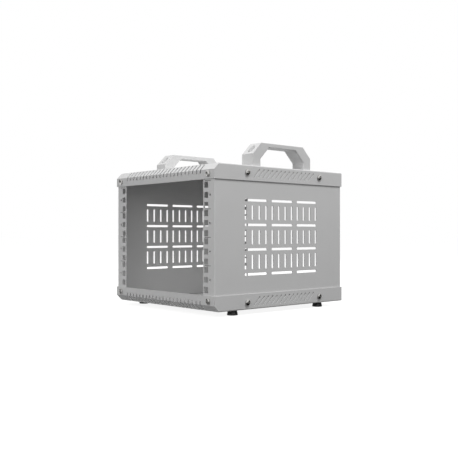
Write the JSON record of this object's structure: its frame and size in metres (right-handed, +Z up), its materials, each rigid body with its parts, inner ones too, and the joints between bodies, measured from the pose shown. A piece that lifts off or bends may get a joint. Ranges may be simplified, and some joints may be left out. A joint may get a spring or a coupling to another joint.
{
  "type": "open-frame rack",
  "caption": "Desktop equipment rack of folded sheet steel, open at front and back, with square-hole rails, slotted side panels, carrying handles on top and rubber feet.",
  "frame": {"origin": "on the floor under the middle of the case", "axes": "+Z up, -Y towards the front with the chamfered edges, +X to the right seen from the front"},
  "size_m": [0.2876, 0.31, 0.281],
  "materials": {
    "powder_coat": "light grey powder coat, fine satin texture",
    "handle_plastic": "light grey moulded nylon, fine matt grain",
    "foot_rubber": "black moulded rubber",
    "nickel_screw": "nickel-plated steel",
    "zinc_nut": "zinc-plated steel"
  },
  "bodies": {
    "root": {"top_cover": "powder_coat", "bottom_cover": "powder_coat", "left_side_panel": "powder_coat", "right_side_panel": "powder_coat", "left_handle": "handle_plastic", "right_handle": "handle_plastic", "front_left_foot": "foot_rubber", "front_right_foot": "foot_rubber", "rear_left_foot": "foot_rubber", "rear_right_foot": "foot_rubber", "top_front_screws": "nickel_screw", "top_rear_screws": "nickel_screw", "top_left_screws": "nickel_screw", "top_right_screws": "nickel_screw", "bottom_front_screws": "nickel_screw", "bottom_rear_screws": "nickel_screw", "bottom_left_screws": "nickel_screw", "bottom_right_screws": "nickel_screw", "left_handle_screws": "nickel_screw", "right_handle_screws": "nickel_screw", "foot_screws": "nickel_screw", "top_front_nuts": "zinc_nut", "top_rear_nuts": "zinc_nut", "top_left_nuts": "zinc_nut", "top_right_nuts": "zinc_nut", "bottom_front_nuts": "zinc_nut", "bottom_rear_nuts": "zinc_nut", "bottom_left_nuts": "zinc_nut", "bottom_right_nuts": "zinc_nut", "left_handle_nuts": "zinc_nut", "right_handle_nuts": "zinc_nut", "foot_nuts": "zinc_nut"}
  },
  "joints": []
}
